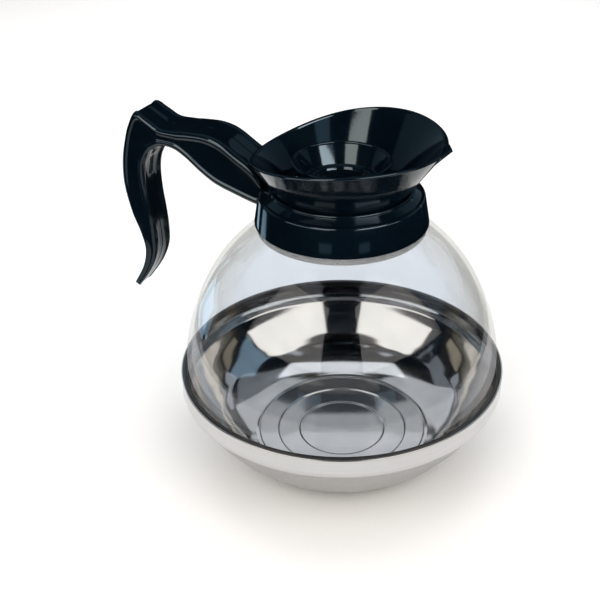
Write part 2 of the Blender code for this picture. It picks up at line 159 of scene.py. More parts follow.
# Handle: cross-bars from the outer edge to the inner edge, (x, z) each, with the half-width there
HANDLE_BARS = (
    ((-37.1, 144.0), (-37.1, 130.7), 11.8),
    ((-41.0, 149.4), (-41.5, 131.3), 12.0),
    ((-49.0, 154.6), (-52.0, 134.4), 12.0),
    ((-58.0, 160.3), (-61.5, 137.8), 12.0),
    ((-66.0, 162.6), (-69.5, 142.8), 12.0),
    ((-75.0, 162.6), (-77.0, 148.8), 12.0),
    ((-83.5, 162.0), (-84.0, 152.8), 12.0),
    ((-91.0, 162.3), (-90.2, 153.2), 11.8),
    ((-98.0, 166.0), (-95.2, 151.0), 11.5),
    ((-104.2, 168.6), (-98.4, 148.4), 11.2),
    ((-109.2, 161.6), (-101.0, 144.4), 10.7),
    ((-113.0, 152.4), (-103.1, 139.4), 10.0),
    ((-116.2, 141.0), (-104.0, 132.0), 9.4),
    ((-117.3, 128.0), (-103.5, 122.0), 8.8),
    ((-115.2, 113.6), (-102.0, 109.6), 8.3),
    ((-111.4, 101.6), (-101.4, 99.0), 7.9),
    ((-109.5, 91.6), (-102.6, 90.2), 7.5),
    ((-112.4, 80.6), (-107.6, 79.4), 6.8),
    ((-119.8, 68.2), (-117.2, 66.4), 5.8),
)
BAR_STEPS = 6                 # interpolated bars for each one listed
SEAM = 0.12                   # from the middle plane to the plane each half is cut at
SEAM_GAP = 0.02               # left between the two mating faces once the halves are closed up
SEAM_CHAMFER = 0.4
SEAM_GROOVE = 0.7
BEAD = 2.7                    # rounding of the raised edge beads
BEAD_FALL = 1.5               # width of the step from a bead down to a recessed face
TOP_DIP = 0.5
SIDE_DIP = 0.7
GRIP_DIP = 1.3
PAST_SEAM = 4.0               # the sweep runs on this far, and is cut off at the seam
TAIL_STEPS = 6
SCREW_LABELS = ("arm", "bend", "grip")
SCREW_HEAD = 1.8
SCREW_CLEARANCE = 0.35
SCREW_RECESS = 2.1            # depth of a screw's hole below the top of its head
THREAD_PITCH = 1.0
THREAD_ROOT = 0.85
THREAD_CREST = 1.2
CROSS_BLADE = (2.6, 0.6, 2.2)

# Camera and stage
CAMERA_AT = (157.7, -380.7, 324.7)    # in millimetres
CAMERA_TURN = (59.44, 0.0, 22.5)      # in degrees
CAMERA_LENS = 57.36
CAMERA_SHIFT = -0.0698
AIM_HEIGHT = 0.08                     # of the point that the elevations below are seen from
FLOOR_NEAR = 0.25
FLOOR_FAR = 1.25
FLOOR_DROP = 0.0004                   # keeps the floor clear of the foot
FLOOR_SEGMENTS = 96
WARM = (1.0, 0.93, 0.84)
COOL = (0.86, 0.93, 1.0)
AMBER = (1.0, 0.84, 0.62)
WHITE = (1.0, 1.0, 1.0)
BLUE = (0.55, 0.80, 1.0)
LILAC = (0.93, 0.94, 1.0)
TAN = (1.0, 0.90, 0.80)
SOFTBOX_DISTANCE = 1.2
# Each name, azimuth, elevations from and to, width in degrees, brightness, colour, the pieces it falls on
SOFTBOXES = (
    ("softbox_left", -46, 14, 57, 62, 2.15, WARM, "bright"),
    ("softbox_right", 48, 14, 58, 66, 2.15, WARM, "bright"),
    ("front_low", -2, 1, 12, 54, 0.6, AMBER, "bright"),
    ("upper_left", -55, 57, 68, 46, 0.8, LILAC, "bright"),
    ("upper_right", 52, 58, 68, 46, 0.7, LILAC, "bright"),
    ("flank_left", -107, 24, 42, 46, 0.32, COOL, "bright"),
    ("flank_right", 100, 18, 45, 34, 0.52, BLUE, "bright"),
    ("side_right", 128, 30, 64, 30, 0.30, COOL, "bright"),
    ("amber_left", -105, 6, 15, 22, 0.5, AMBER, "bright"),
    ("amber_right", 104, 6, 14, 22, 0.4, AMBER, "bright"),
    ("rear_left_low", -131, 4, 20, 26, 0.5, LILAC, "bright"),
    ("rear_right_low", 131, 4, 24, 30, 0.6, LILAC, "bright"),
    ("rear_left", -146, 22, 62, 34, 0.88, WHITE, "bright"),
    ("rear_right", 155, 26, 61, 22, 0.85, WHITE, "bright"),
    ("backdrop_low", 180, 2, 33, 28, 1.1, WHITE, "bright"),
    ("backdrop_middle", 180, 33, 43, 15, 0.72, WHITE, "bright"),
    ("backdrop_high", 180, 43, 64, 50, 0.10, COOL, "bright"),
    ("strip_left", -27, 28, 54, 34, 8.0, TAN, "black"),
    ("strip_right", 42, 26, 38, 40, 14.0, WHITE, "black"),
    ("low_left", -46, 8, 27, 62, 4.0, WHITE, "black"),
    ("low_right", 48, 8, 25, 62, 4.0, WHITE, "black"),
    ("strip_right_high", 34, 38, 56, 20, 1.2, BLUE, "black"),
    ("glow_left", -125, 4, 44, 60, 0.28, BLUE, "black"),
    ("glow_right", 125, 4, 44, 60, 0.28, BLUE, "black"),
)
CARD_BOTTOM = 0.004
CARDS = (                     # name, azimuth, distance, top edge, width in degrees, brightness
    ("card_left", -20, 0.48, 0.072, 15, 0.8),
    ("card_right", 27, 0.48, 0.072, 13, 0.8),
    ("card_edge", -124, 0.30, 0.085, 30, 2.0),
)


# ---------------------------------------------------------------- materials

NOISE_LOW = 0.3                       # noise values mostly fall between these two
NOISE_HIGH = 0.7


def node(tree, kind, **settings):
    """Add a shader node; settings named after an input fill it, the others are the node's own."""
    made = tree.nodes.new(kind)
    for name, value in settings.items():
        label = name.replace("_", " ")
        if label in made.inputs:
            made.inputs[label].default_value = value
        else:
            setattr(made, name, value)
    return made


def new_material(name):
    made = bpy.data.materials.new(name)
    made.use_nodes = True
    return made, made.node_tree, made.node_tree.nodes["Principled BSDF"]


def place_on_object(tree):
    return node(tree, "ShaderNodeTexCoord").outputs["Object"]


def place_by_radius(tree, along):
    """Coordinates (distance from the Z axis, height, angle times along) for turned finishes."""
    where = node(tree, "ShaderNodeTexCoord")
    parts = node(tree, "ShaderNodeSeparateXYZ")
    tree.links.new(where.outputs["Object"], parts.inputs["Vector"])
    flat = node(tree, "ShaderNodeCombineXYZ")
    tree.links.new(parts.outputs["X"], flat.inputs["X"])
    tree.links.new(parts.outputs["Y"], flat.inputs["Y"])
    length = node(tree, "ShaderNodeVectorMath", operation="LENGTH")
    tree.links.new(flat.outputs["Vector"], length.inputs[0])
    turn = node(tree, "ShaderNodeMath", operation="ARCTAN2")
    tree.links.new(parts.outputs["Y"], turn.inputs[0])
    tree.links.new(parts.outputs["X"], turn.inputs[1])
    shrink = node(tree, "ShaderNodeMath", operation="MULTIPLY")
    shrink.inputs[1].default_value = along
    tree.links.new(turn.outputs["Value"], shrink.inputs[0])
    made = node(tree, "ShaderNodeCombineXYZ")
    tree.links.new(length.outputs["Value"], made.inputs["X"])
    tree.links.new(parts.outputs["Z"], made.inputs["Y"])
    tree.links.new(shrink.outputs["Value"], made.inputs["Z"])
    return made.outputs["Vector"]


def noise(tree, vector, scale, detail):
    made = node(tree, "ShaderNodeTexNoise", Scale=scale, Detail=detail)
    tree.links.new(vector, made.inputs["Vector"])
    return made.outputs["Fac"]


def spread(tree, value, low, high):
    """Map a noise value to a range."""
    made = node(tree, "ShaderNodeMapRange")
    made.inputs["From Min"].default_value = NOISE_LOW
    made.inputs["From Max"].default_value = NOISE_HIGH
    made.inputs["To Min"].default_value = low
    made.inputs["To Max"].default_value = high
    tree.links.new(value, made.inputs["Value"])
    return made.outputs["Result"]


def ramp(tree, value, low, high, start=NOISE_LOW, end=NOISE_HIGH):
    """Map a value to a colour between two."""
    made = node(tree, "ShaderNodeValToRGB")
    made.color_ramp.elements[0].position = start
    made.color_ramp.elements[0].color = (*low, 1.0)
    made.color_ramp.elements[1].position = end
    made.color_ramp.elements[1].color = (*high, 1.0)
    tree.links.new(value, made.inputs["Fac"])
    return made.outputs["Color"]


def bump(tree, height, distance, strength, under=None):
    made = node(tree, "ShaderNodeBump", Strength=strength, Distance=distance)
    tree.links.new(height, made.inputs["Height"])
    if under:
        tree.links.new(under, made.inputs["Normal"])
    return made.outputs["Normal"]


def polished_steel():
    """Mirror finish inside the pan: faint spun lines, slow waves of the pressing, a few dull spots."""
    made, tree, shader = new_material("steel_polished")
    shader.inputs["Metallic"].default_value = 1.0
    place = place_on_object(tree)
    spun = noise(tree, place_by_radius(tree, 0.002), 2600.0, 2.0)
    waves = noise(tree, place, 26.0, 1.0)
    dull = noise(tree, place, 60.0, 4.0)
    tree.links.new(ramp(tree, dull, (0.56, 0.55, 0.53), (0.64, 0.62, 0.60)), shader.inputs["Base Color"])
    tree.links.new(spread(tree, dull, 0.055, 0.095), shader.inputs["Roughness"])
    soft = bump(tree, waves, 0.0006, 0.35)
    tree.links.new(bump(tree, spun, 0.00002, 0.3, soft), shader.inputs["Normal"])
    return made


def satin_steel(name, dark, light, smooth, rough):
    """Circular-brushed finish outside the pan, with hairlines along the brushing."""
    made, tree, shader = new_material(name)
    shader.inputs["Metallic"].default_value = 1.0
    lines = noise(tree, place_by_radius(tree, 0.0004), 3000.0, 2.0)
    cloud = noise(tree, place_on_object(tree), 24.0, 2.0)
    tree.links.new(ramp(tree, lines, dark, light), shader.inputs["Base Color"])
    tree.links.new(spread(tree, cloud, smooth, rough), shader.inputs["Roughness"])
    tree.links.new(bump(tree, lines, 0.00001, 0.25), shader.inputs["Normal"])
    return made


def black_plastic():
    """Gloss-moulded nylon: deep blue-black, a faint orange-peel skin and uneven polish."""
    made, tree, shader = new_material("plastic_black")
    place = place_on_object(tree)
    cloud = noise(tree, place, 38.0, 4.0)
    skin = noise(tree, place, 420.0, 2.0)
    grain = noise(tree, place, 2400.0, 2.0)
    colour = ramp(tree, cloud, (0.0006, 0.0020, 0.0036), (0.0012, 0.0034, 0.0060))
    tree.links.new(colour, shader.inputs["Base Color"])
    tree.links.new(spread(tree, cloud, 0.075, 0.11), shader.inputs["Roughness"])
    shader.inputs["IOR"].default_value = 1.4
    shader.inputs["Specular Tint"].default_value = (0.72, 0.90, 1.0, 1.0)
    peel = bump(tree, skin, 0.00004, 0.2)
    tree.links.new(bump(tree, grain, 0.000005, 0.1, peel), shader.inputs["Normal"])
    return made


def clear_plastic():
    """Clear moulded bowl: see-through, glossier and slightly warmer towards its silhouette."""
    made = bpy.data.materials.new("bowl_clear")
    made.use_nodes = True
    tree = made.node_tree
    tree.nodes.remove(tree.nodes["Principled BSDF"])
    cloud = noise(tree, place_on_object(tree), 22.0, 2.0)
    facing = node(tree, "ShaderNodeLayerWeight", Blend=0.5)
    tint = ramp(tree, facing.outputs["Facing"], (0.897, 0.914, 0.934), (0.945, 0.935, 0.905), 0.4, 1.0)
    through = node(tree, "ShaderNodeBsdfTransparent")
    tree.links.new(tint, through.inputs["Color"])
    shine = node(tree, "ShaderNodeBsdfGlossy")
    shine.inputs["Color"].default_value = (0.94, 0.95, 1.0, 1.0)
    tree.links.new(spread(tree, cloud, 0.02, 0.05), shine.inputs["Roughness"])
    tree.links.new(bump(tree, cloud, 0.0008, 0.2), shine.inputs["Normal"])
    share = node(tree, "ShaderNodeMapRange", clamp=True)
    share.interpolation_type = "SMOOTHERSTEP"
    share.inputs["From Min"].default_value = 0.2
    share.inputs["To Min"].default_value = 0.022
    share.inputs["To Max"].default_value = 0.20
    tree.links.new(facing.outputs["Facing"], share.inputs["Value"])
    mixed = node(tree, "ShaderNodeMixShader")
    tree.links.new(share.outputs["Result"], mixed.inputs["Fac"])
    tree.links.new(through.outputs["BSDF"], mixed.inputs[1])
    tree.links.new(shine.outputs["BSDF"], mixed.inputs[2])
    tree.links.new(mixed.outputs["Shader"], tree.nodes["Material Output"].inputs["Surface"])
    return made


def black_rubber():
    made, tree, shader = new_material("rubber_black")
    place = place_on_object(tree)
    grain = noise(tree, place, 1800.0, 4.0)
    cloud = noise(tree, place, 70.0, 3.0)
    colour = ramp(tree, cloud, (0.006, 0.006, 0.007), (0.014, 0.013, 0.013))
    tree.links.new(colour, shader.inputs["Base Color"])
    tree.links.new(spread(tree, grain, 0.28, 0.42), shader.inputs["Roughness"])
    tree.links.new(bump(tree, grain, 0.00004, 0.4), shader.inputs["Normal"])
    return made


def clear_silicone():
    """Milky see-through seal."""
    made, tree, shader = new_material("silicone_clear")
    cloud = noise(tree, place_on_object(tree), 90.0, 3.0)
    tree.links.new(ramp(tree, cloud, (0.16, 0.16, 0.165), (0.26, 0.25, 0.24)), shader.inputs["Base Color"])
    tree.links.new(spread(tree, cloud, 0.18, 0.30), shader.inputs["Roughness"])
    shader.inputs["Alpha"].default_value = 0.55
    tree.links.new(bump(tree, cloud, 0.0003, 0.3), shader.inputs["Normal"])
    return made


def screw_steel():
    made, tree, shader = new_material("screw_zinc")
    shader.inputs["Metallic"].default_value = 1.0
    cloud = noise(tree, place_on_object(tree), 300.0, 4.0)
    tree.links.new(ramp(tree, cloud, (0.42, 0.42, 0.43), (0.58, 0.57, 0.55)), shader.inputs["Base Color"])
    tree.links.new(spread(tree, cloud, 0.22, 0.38), shader.inputs["Roughness"])
    tree.links.new(bump(tree, cloud, 0.00003, 0.3), shader.inputs["Normal"])
    return made


# ---------------------------------------------------------------- mesh tools

def make_piece(name, bm, *finishes, sharp=SHARP):
    """Turn a bmesh written in millimetres into a smooth-shaded object."""
    bmesh.ops.scale(bm, vec=(MM, MM, MM), verts=bm.verts)
    bmesh.ops.recalc_face_normals(bm, faces=bm.faces)
    mesh = bpy.data.meshes.new(name)
    bm.to_mesh(mesh)
    bm.free()
    mesh.shade_smooth()
    mesh.set_sharp_from_angle(angle=math.radians(sharp))
    for finish in finishes:
        mesh.materials.append(finish)
    made = bpy.data.objects.new(name, mesh)
    bpy.context.scene.collection.objects.link(made)
    return made


def arc(centre_r, centre_z, radius, start, end, steps):
    """Points on an arc in the (radius, height) plane, angles in degrees from +R towards +Z."""
    turns = [math.radians(start + (end - start) * i / steps) for i in range(steps + 1)]
    return [(centre_r + radius * math.cos(turn), centre_z + radius * math.sin(turn)) for turn in turns]


def rounded(points, radius, steps=4):
    """A closed outline with each corner rounded; a point written (r, z, own) has its own radius."""
    rows = []
    count = len(points)
    for i, point in enumerate(points):
        here = Vector(point[:2])
        own = point[2] if len(point) > 2 else radius
        before = Vector(points[i - 1][:2])
        after = Vector(points[(i + 1) % count][:2])
        back = (before - here).normalized()
        ahead = (after - here).normalized()
        bend = math.pi - back.angle(ahead)
        reach = own * math.tan(bend / 2)
        reach = min(reach, 0.48 * (before - here).length, 0.48 * (after - here).length)
        if bend < math.radians(2) or reach < 0.01:
            rows.append((here.x, here.y))
            continue
        start = here + back * reach
        end = here + ahead * reach
        for step in range(steps + 1):
            t = step / steps
            p = start * (1 - t) ** 2 + here * 2 * t * (1 - t) + end * t * t
            rows.append((p.x, p.y))
    return rows


def smooth_curve(points, steps):
    """Catmull-Rom points through a chain of (r, z) points."""
    chain = [Vector(point) for point in points]
    rows = []
    last = len(chain) - 1
    for i in range(last):
        picks = [chain[max(0, i - 1)], chain[i], chain[i + 1], chain[min(last, i + 2)]]
        rows += [tuple(between(*picks, step / steps)) for step in range(steps)]
    return rows + [tuple(chain[-1])]


def between(before, start, end, after, t):
    """Catmull-Rom point between start and end."""
    return 0.5 * (
        2 * start
        + (end - before) * t
        + (2 * before - 5 * start + 4 * end - after) * t * t
        + (3 * start - before - 3 * end + after) * t * t * t
    )


def turned(rows, segments=SEGMENTS, finish_of=None):
    """Revolve a closed (radius, height) outline about Z; finish_of(row) picks a material index."""
    bm = bmesh.new()
    rings = []
    for radius, height in rows:
        if radius < 1e-6:
            rings.append([bm.verts.new((0, 0, height))] * segments)
            continue
        turns = [math.tau * i / segments for i in range(segments)]
        points = [(radius * math.cos(turn), radius * math.sin(turn), height) for turn in turns]
        rings.append([bm.verts.new(point) for point in points])
    for row, ring in enumerate(rings):
        above = rings[(row + 1) % len(rings)]
        for i in range(segments):
            j = (i + 1) % segments
            corners = []
            for vert in (ring[i], ring[j], above[j], above[i]):
                if vert not in corners:
                    corners.append(vert)
            if len(corners) > 2:
                face = bm.faces.new(corners)
                face.material_index = finish_of(row) if finish_of else 0
    return bm


def boolean(target, operation, *cutters):
    """Apply exact Booleans to the target, and remove the pieces that they use."""
    for cutter in cutters:
        step = target.modifiers.new(operation.lower(), "BOOLEAN")
        step.operation = operation
        step.solver = "EXACT"
        step.object = cutter
    bpy.context.view_layer.update()
    graph = bpy.context.evaluated_depsgraph_get()
    made = bpy.data.meshes.new_from_object(target.evaluated_get(graph))
    target.modifiers.clear()
    target.data = made
    made.shade_smooth()
    made.set_sharp_from_angle(angle=math.radians(SHARP))
    for cutter in cutters:
        bpy.data.objects.remove(cutter, do_unlink=True)
    return target


# ---------------------------------------------------------------- base and bowl

def steel_pan(inside_finish, band_finish, dish_painted_shade_finish):
    """Stamped pan: flat foot, dished wall, stepped outer band with a rolled lip, three floor rings."""
    foot = [(0, FOOT_RISE), (FOOT_RADIUS - 5.0, FOOT_RISE), (FOOT_RADIUS - 4.0, 0.0)]
    dish = smooth_curve([(FOOT_RADIUS, 0.0), *DISH], 6)
    outside = foot + dish + smooth_curve(BAND_STEP, 4)[1:]
    outside += [(RIM_RADIUS - 0.12, 41.5), (RIM_RADIUS - 0.15, 44.6), (RIM_RADIUS, RIM_TOP - 1.0)]
    outside += arc(RIM_RADIUS - LIP_RADIUS, RIM_TOP - LIP_RADIUS, LIP_RADIUS, 0, 180, 8)
    inner = RIM_RADIUS - SHEET
    step = [(inner, RIM_TOP - 2.0), (inner, BAND_BOTTOM + 2.7), *BAND_STEP_INSIDE, PAN_WALL[0]]
    inside = smooth_curve(step, 4) + smooth_curve(PAN_WALL, 7)[1:]
    for radius, above, below in FLOOR_RINGS:
        inside += smooth_curve([(radius + 0.5, above), (radius + 0.1, above - 0.12),
                                (radius - 0.4, below + 0.12), (radius - 0.8, below)], 4)
    inside += [(0, FLOOR_MIDDLE)]
    band_from = len(foot + dish) + 4
    inside_from = len(outside) - 4

    # The dish's rows take a darker copy of the band's steel: painted shade on the wall that faces down
    # towards the floor.
    def finish_of(row):
        return 2 if row < band_from else 1 if row < inside_from else 0

    bm = turned(outside + inside, finish_of=finish_of)
    return make_piece("steel_pan", bm, inside_finish, band_finish, dish_painted_shade_finish, sharp=60)


def lip_gasket(finish):
    """Rubber ring pressed between the bowl and the pan's lip, with a soft bead along its top."""
    outer = RIM_RADIUS - SHEET - 0.05
    inner = DOME_RADIUS + 0.1
    rows = [(inner + 0.1, GASKET_BOTTOM), (outer, GASKET_BOTTOM + 0.3)]
    rows += [(outer, RIM_TOP - 0.2), (outer - 0.6, RIM_TOP + 0.3)]
    rows += [(outer - 1.3, RIM_TOP - 0.1), (inner, RIM_TOP + 0.2)]
    return make_piece("lip_gasket", turned(rounded(rows, 0.35)), finish)


def dome_points(top, inset):
    """Points on the bowl's ellipse from its widest place up to a height, evenly spaced in angle."""
    high = math.asin((top - DOME_CENTRE) / (DOME_HEIGHT - inset))
    turns = [high * i / DOME_STEPS for i in range(DOME_STEPS + 1)]
    return [
        ((DOME_RADIUS - inset) * math.cos(turn), DOME_CENTRE + (DOME_HEIGHT - inset) * math.sin(turn))
        for turn in turns
    ]


def clear_bowl(finish):
    """Moulded shell: an elliptical dome that curves into a neck with a bead round its mouth."""
    outside = [(DOME_RADIUS - 0.1, BOWL_EDGE), (DOME_RADIUS, BOWL_EDGE + 0.3)]
    outside += dome_points(DOME_TOP, 0.0) + smooth_curve(NECK_CURVE, 4)
    outside += [(NECK_RADIUS, BEAD_BOTTOM), (BEAD_RADIUS - 0.5, BEAD_BOTTOM)]
    outside += [(BEAD_RADIUS, BEAD_BOTTOM + 0.5)]
    outside += arc(BEAD_RADIUS - 0.6, NECK_TOP - 0.6, 0.6, 0, 90, 3)
    inside = [(NECK_BORE + 0.4, NECK_TOP), (NECK_BORE, NECK_TOP - 0.4), (NECK_BORE, 128.4)]
    inside += smooth_curve(NECK_CURVE_INSIDE, 4)
    inside += reversed(dome_points(DOME_TOP_INSIDE, DOME_WALL))
    inside += [(DOME_RADIUS - DOME_WALL, BOWL_EDGE + 0.3), (DOME_RADIUS - DOME_WALL + 0.1, BOWL_EDGE)]
    return make_piece("clear_bowl_shell", turned(outside + inside), finish, sharp=60)


def neck_ring(finish):
    """See-through seal under the collar, with two small moulding nubs on its outer edge."""
    top = COLLAR_BOTTOM - 0.1
    inner = SEAL_RADIUS - SEAL_WIDTH

    def skin(radius):
        reach = radius / DOME_RADIUS
        return DOME_CENTRE + DOME_HEIGHT * math.sqrt(1.0 - reach * reach) + 0.15

    rows = [(inner, top), (SEAL_RADIUS, top), (SEAL_RADIUS, skin(SEAL_RADIUS)), (inner, skin(inner))]
    bm = turned(rounded(rows, 0.3))
    for degrees in NUB_TURNS:
        turn = math.radians(degrees)
        at = Vector((math.cos(turn), math.sin(turn), 0)) * (SEAL_RADIUS - 0.2)
        at.z = skin(SEAL_RADIUS) + 0.7
        ball = {"u_segments": 16, "v_segments": 8, "radius": NUB_RADIUS}
        bmesh.ops.create_uvsphere(bm, matrix=Matrix.Translation(at), **ball)
    return make_piece("neck_ring", bm, finish)


# ---------------------------------------------------------------- funnel and cup

def rim_point(turn):
    """Outer radius and height of the funnel's rim in one direction from the axis."""
    x = RIM_MEAN * math.cos(turn)
    height = RIM_HEIGHT + RIM_SLOPE * x - RIM_SAG * x * x
    radius = RIM_MEAN + CONE_SLOPE * (height - RIM_HEIGHT) + RIM_SWELL * math.cos(2 * turn) ** 2
    return radius, height


def spout(turn, below, depth):
    """Share of the beak's reach at a place: 1 at its tip, falling in two flat facets to 0."""
    away = abs(math.remainder(turn - SPOUT_TURN, math.tau))
    return max(0.0, 1.0 - away / SPOUT_HALF_ANGLE - below / depth) ** 1.1


def funnel_wall(turn, below, inset):
    """A point of the funnel's cone, a distance down from the rim, in from the outer face."""
    radius, height = rim_point(turn)
    share = below / (height - CONE_BOTTOM)
    cone = radius + (THROAT_RADIUS + 0.8 - radius) * share
    beak = spout(turn, below, SPOUT_DEPTH if inset else SPOUT_DEPTH_OUTSIDE)
    distance = cone + beak * SPOUT_REACH - inset
    return Vector((distance * math.cos(turn), distance * math.sin(turn), height - below + beak * SPOUT_LIFT))


def pouring_funnel(finish):
    """One closed skin: the cone's outer face, the throat and its flange, the inner face, the rolled lip."""
    flange_top = FLANGE_BOTTOM + FLANGE_THICKNESS
    throat = [(THROAT_RADIUS, CONE_BOTTOM - 1.2), (THROAT_RADIUS, flange_top), (FLANGE_RADIUS, flange_top)]
    throat += [(FLANGE_RADIUS, FLANGE_BOTTOM), (SEAT_BORE, FLANGE_BOTTOM), (SEAT_BORE, SEAT_TOP)]
    throat += [(THROAT_BORE, SEAT_TOP), (THROAT_BORE, CONE_BOTTOM - 1.0)]
    throat = rounded(throat, 0.4, 2)[1:-1]
    shares = [(step / FUNNEL_ROWS) ** 1.4 for step in range(FUNNEL_ROWS + 1)]
    lip = FUNNEL_WALL / 2
    bm = bmesh.new()
    columns = []
    for i in range(FUNNEL_COLUMNS):
        turn = math.tau * i / FUNNEL_COLUMNS
        around = Vector((math.cos(turn), math.sin(turn), 0))
        drop = rim_point(turn)[1] - CONE_BOTTOM - lip
        steps = [lip + drop * share for share in shares]
        outside = [funnel_wall(turn, below, 0.0) for below in steps]
        inside = [funnel_wall(turn, below, FUNNEL_WALL) for below in reversed(steps)]
        column = outside + [around * radius + Vector((0, 0, height)) for radius, height in throat] + inside
        crown = funnel_wall(turn, lip, lip)
        for step in range(1, LIP_ROWS):
            angle = math.pi * (1 - step / LIP_ROWS)
            column.append(crown + around * lip * math.cos(angle) + Vector((0, 0, lip * math.sin(angle))))
        columns.append(column)
    size = len(columns[0])
    verts = [[bm.verts.new(point) for point in column] for column in columns]
    for i, column in enumerate(verts):
        beside = verts[(i + 1) % FUNNEL_COLUMNS]
        for row in range(size):
            after = (row + 1) % size
            bm.faces.new((column[row], beside[row], beside[after], column[after]))
    return make_piece("pouring_funnel", bm, finish, sharp=50)


def drip_cup(finish):
    """Brew-through cup: flared wall, stepped floor, tapering nozzle, and a slotted ring to rest on."""
    seat = SEAT_TOP + 0.3
    ring_top = seat + RING_THICKNESS
    body = [(CUP_RIM_RADIUS, CUP_TOP - 1.0), (19.4, CUP_FLOOR), (HUB_RADIUS, ring_top), (HUB_RADIUS, seat)]
    body += [(NOZZLE_RADIUS + 0.4, seat - 0.8), (11.2, NOZZLE_BOTTOM), (9.8, NOZZLE_BOTTOM)]
    body += [(13.6, CUP_FLOOR - 1.2), (NOZZLE_RADIUS - 0.6, CUP_FLOOR + 0.1)]
    body += [(NOZZLE_RADIUS + 0.4, CUP_FLOOR + 0.1), (NOZZLE_RADIUS + 1.2, CUP_FLOOR - 0.9)]
    body += [(17.9, CUP_FLOOR - 0.2), (CUP_RIM_RADIUS - 1.5, CUP_TOP - 0.9)]
    rows = rounded(body, 0.6, 3)
    rows += arc(CUP_RIM_RADIUS - CUP_LIP_RADIUS, CUP_TOP - CUP_LIP_RADIUS, CUP_LIP_RADIUS, 180, 0, 8)
    cup = make_piece("drip_cup", turned(rows, CUP_SEGMENTS), finish, sharp=50)
    ring = [(CUP_RING_INNER, seat), (CUP_RING_OUTER, seat)]
    ring += [(CUP_RING_OUTER, ring_top), (CUP_RING_INNER, ring_top)]
    parts = [make_piece("cup_ring", turned(rounded(ring, 0.4, 2), CUP_SEGMENTS), finish)]
    start = HUB_RADIUS - 1.0
    reach = (CUP_RING_INNER + CUP_RING_OUTER) / 2 - start
    for i in range(SPOKES):
        bm = bmesh.new()
        bmesh.ops.create_cube(bm, size=1.0)
        bmesh.ops.scale(bm, vec=(reach, SPOKE_WIDTH, RING_THICKNESS - 0.2), verts=bm.verts)
        bmesh.ops.bevel(bm, geom=bm.edges[:], offset=0.3, segments=2, affect="EDGES")
        bmesh.ops.translate(bm, vec=(start + reach / 2, 0, (ring_top + seat) / 2), verts=bm.verts)
        bmesh.ops.rotate(bm, verts=bm.verts, matrix=Matrix.Rotation(math.tau * (i + 0.5) / SPOKES, 3, "Z"))
        parts.append(make_piece(f"spoke_{i + 1}", bm, finish))
    return boolean(cup, "UNION", *parts)


# ---------------------------------------------------------------- handle and collar

def handle_bars():
    """Smoothly interpolated bars, each (outer x, outer z, inner x, inner z, half-width)."""
    rows = [Vector((*outer, *inner)) for outer, inner, _ in HANDLE_BARS]
    widths = [width for _, _, width in HANDLE_BARS]
    last = len(rows) - 1
    bars = []
    for i in range(last):
        picks = [max(0, i - 1), i, i + 1, min(last, i + 2)]
        for step in range(BAR_STEPS):
            t = step / BAR_STEPS
            point = between(*(rows[k] for k in picks), t)
            bars.append((*point, between(*(widths[k] for k in picks), t)))
    return bars


def ease(t):
    """Smoothstep from 0 to 1."""
    return t * t * (3 - 2 * t)


def section(bar, shrink=1.0, slide=Vector((0, 0, 0))):
    """Half cross-section: outer face, raised bead, recessed side, raised bead, finger channel."""
    outer = Vector((bar[0], 0, bar[1]))
    inner = Vector((bar[2], 0, bar[3]))
    across = (inner - outer).normalized()
    middle = (outer + inner) / 2 + slide
    depth = (inner - outer).length * shrink
    side = bar[4] * (0.4 + 0.6 * shrink)
    fit = min(1.0, depth / 10.5, side / 7.5)
    bead = BEAD * fit
    fall = BEAD_FALL * fit

    def face(dip):
        """From past the seam out to the start of the corner: (distance in from the face, y)."""
        flat = side - bead - fall
        yield dip + SEAM_CHAMFER, -PAST_SEAM
        yield dip + SEAM_CHAMFER, SEAM
        yield dip, SEAM + SEAM_CHAMFER
        yield dip, flat * 0.55
        for step in range(5):
            t = step / 4
            yield dip * (1 - ease(t)), flat + fall * t

    corner = [(bead - bead * math.cos(math.radians(a)), side - bead + bead * math.sin(math.radians(a)))
              for a in (18, 36, 54, 72, 90)]
    panel = []
    for step in range(1, 5):
        t = step / 4
        panel.append((bead + fall * t, side - SIDE_DIP * fit * ease(t)))
    top = [*face(TOP_DIP * fit), *corner, *panel]
    bottom = [*face(GRIP_DIP * fit), *corner, *panel]
    rows = top + [(depth - s, y) for s, y in reversed(bottom)]
    start = middle - across * depth / 2
    return [start + across * s + Vector((0, y, 0)) for s, y in rows]


def handle_sweep():
    """The handle's +Y half as one closed skin that runs past the seam."""
    bm = bmesh.new()
    bars = handle_bars()
    loops = [section(bar) for bar in bars]
    end = Vector(HANDLE_BARS[-1][0]).lerp(Vector(HANDLE_BARS[-1][1]), 0.5)
    tail = Vector(((bars[-1][0] + bars[-1][2]) / 2, (bars[-1][1] + bars[-1][3]) / 2))
    reach = Vector((end.x - tail.x, 0, end.y - tail.y)) * 0.9
    for step in range(1, TAIL_STEPS):
        angle = math.pi / 2 * step / TAIL_STEPS
        loops.append(section(bars[-1], 0.15 + 0.85 * math.cos(angle), reach * math.sin(angle)))
    rings = [[bm.verts.new(point) for point in loop] for loop in loops]
    for ring, ahead in zip(rings, rings[1:]):
        for i in range(len(ring)):
            j = (i + 1) % len(ring)
            bm.faces.new((ring[i], ring[j], ahead[j], ahead[i]))
    bm.faces.new(rings[0])
    bm.faces.new(rings[-1])
    bmesh.ops.triangulate(bm, faces=bm.faces)
    return bm


